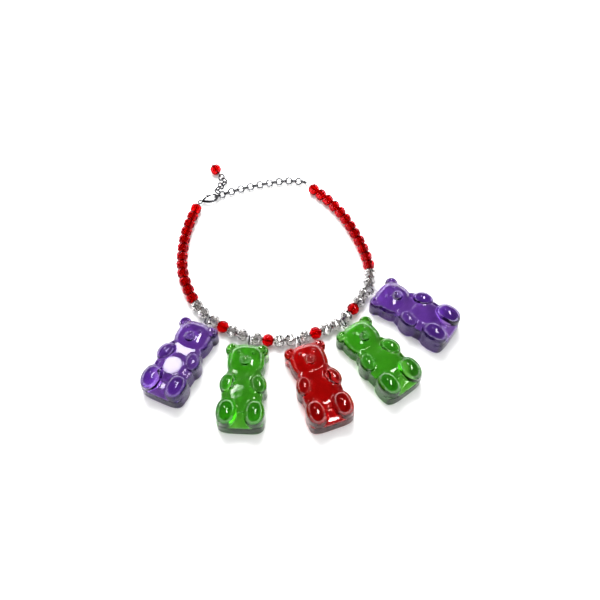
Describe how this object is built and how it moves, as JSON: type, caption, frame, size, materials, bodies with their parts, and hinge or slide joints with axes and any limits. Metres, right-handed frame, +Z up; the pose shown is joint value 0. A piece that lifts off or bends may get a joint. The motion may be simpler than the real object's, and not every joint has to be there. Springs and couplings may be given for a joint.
{
  "type": "gummy bear necklace",
  "caption": "Short necklace of faceted glass beads with clear cast resin gummy bear pendants, closed by a lobster clasp on an extender chain.",
  "frame": {"origin": "centre of the clasped necklace's footprint, on the surface that it lies on", "axes": "+Z up from the surface, -Y the way the middle bears point, +X to the right of someone who looks along +Y"},
  "size_m": [0.2038, 0.218, 0.02],
  "materials": {
    "purple_resin": "clear cast resin, polished",
    "green_resin": "clear cast resin, polished",
    "red_resin": "clear cast resin, polished",
    "red_glass": "fire-polished facets",
    "clear_glass": "fire-polished facets with a faint lustre",
    "dark_metal": "shiny dark silver plate",
    "beading_wire": "thin bright wire"
  },
  "bodies": {
    "strand": {"bead_01_red": "red_glass", "bead_02_red": "red_glass", "bead_03_red": "red_glass", "bead_04_red": "red_glass", "bead_05_red": "red_glass", "bead_06_red": "red_glass", "bead_07_red": "red_glass", "bead_08_red": "red_glass", "bead_09_red": "red_glass", "bead_10_red": "red_glass", "bead_11_red": "red_glass", "bead_12_red": "red_glass", "bead_13_clear": "clear_glass", "bead_14_clear": "clear_glass", "bead_15_clear": "clear_glass", "bead_16_red": "red_glass", "bead_17_clear": "clear_glass", "bead_18_clear": "clear_glass", "bead_19_clear": "clear_glass", "bead_20_red": "red_glass", "bead_21_clear": "clear_glass", "bead_22_clear": "clear_glass", "bead_23_clear": "clear_glass", "bead_24_red": "red_glass", "bead_25_clear": "clear_glass", "bead_26_clear": "clear_glass", "bead_27_clear": "clear_glass", "bead_28_red": "red_glass", "bead_29_clear": "clear_glass", "bead_30_clear": "clear_glass", "bead_31_clear": "clear_glass", "bead_32_clear": "clear_glass", "bead_33_red": "red_glass", "bead_34_red": "red_glass", "bead_35_red": "red_glass", "bead_36_red": "red_glass", "bead_37_red": "red_glass", "bead_38_red": "red_glass", "bead_39_red": "red_glass", "bead_40_red": "red_glass", "bead_41_red": "red_glass", "bead_42_red": "red_glass", "bead_43_red": "red_glass", "bead_44_red": "red_glass", "end_bead": "red_glass", "beading_wire": "beading_wire", "clasp_body": "dark_metal", "extender_chain": "dark_metal", "end_pin": "dark_metal"},
    "bear_1_purple_body": {"bear_1_purple": "purple_resin", "jump_ring_1": "dark_metal"},
    "bear_2_green_body": {"bear_2_green": "green_resin", "jump_ring_2": "dark_metal"},
    "bear_3_red_body": {"bear_3_red": "red_resin", "jump_ring_3": "dark_metal"},
    "bear_4_green_body": {"bear_4_green": "green_resin", "jump_ring_4": "dark_metal"},
    "bear_5_purple_body": {"bear_5_purple": "purple_resin", "jump_ring_5": "dark_metal"},
    "lever": {"clasp_lever": "dark_metal"}
  },
  "joints": [
    {"name": "bear_1_swing", "type": "hinge", "parent": "strand", "child": "bear_1_purple_body", "pos_m": [-0.06375, -0.0282, 0.004], "axis": [-0.9135, 0.4067, 0], "range_deg": [0, 75]},
    {"name": "bear_2_swing", "type": "hinge", "parent": "strand", "child": "bear_2_green_body", "pos_m": [-0.03593, -0.04342, 0.004], "axis": [-0.9986, 0.0523, 0], "range_deg": [0, 75]},
    {"name": "bear_3_swing", "type": "hinge", "parent": "strand", "child": "bear_3_red_body", "pos_m": [-0.00441, -0.04419, 0.004], "axis": [-0.9397, -0.342, 0], "range_deg": [0, 75]},
    {"name": "bear_4_swing", "type": "hinge", "parent": "strand", "child": "bear_4_green_body", "pos_m": [0.02441, -0.0309, 0.004], "axis": [-0.7986, -0.6018, 0], "range_deg": [0, 75]},
    {"name": "bear_5_swing", "type": "hinge", "parent": "strand", "child": "bear_5_purple_body", "pos_m": [0.04283, -0.00498, 0.004], "axis": [-0.5878, -0.809, 0], "range_deg": [0, 75]},
    {"name": "clasp_lever_press", "type": "hinge", "parent": "strand", "child": "lever", "pos_m": [-0.07298, 0.07831, 0.0023], "axis": [0, 0, -1], "range_deg": [0, 20], "stiffness_Nm_per_rad": 0.00002, "springref_deg": -11.46}
  ]
}
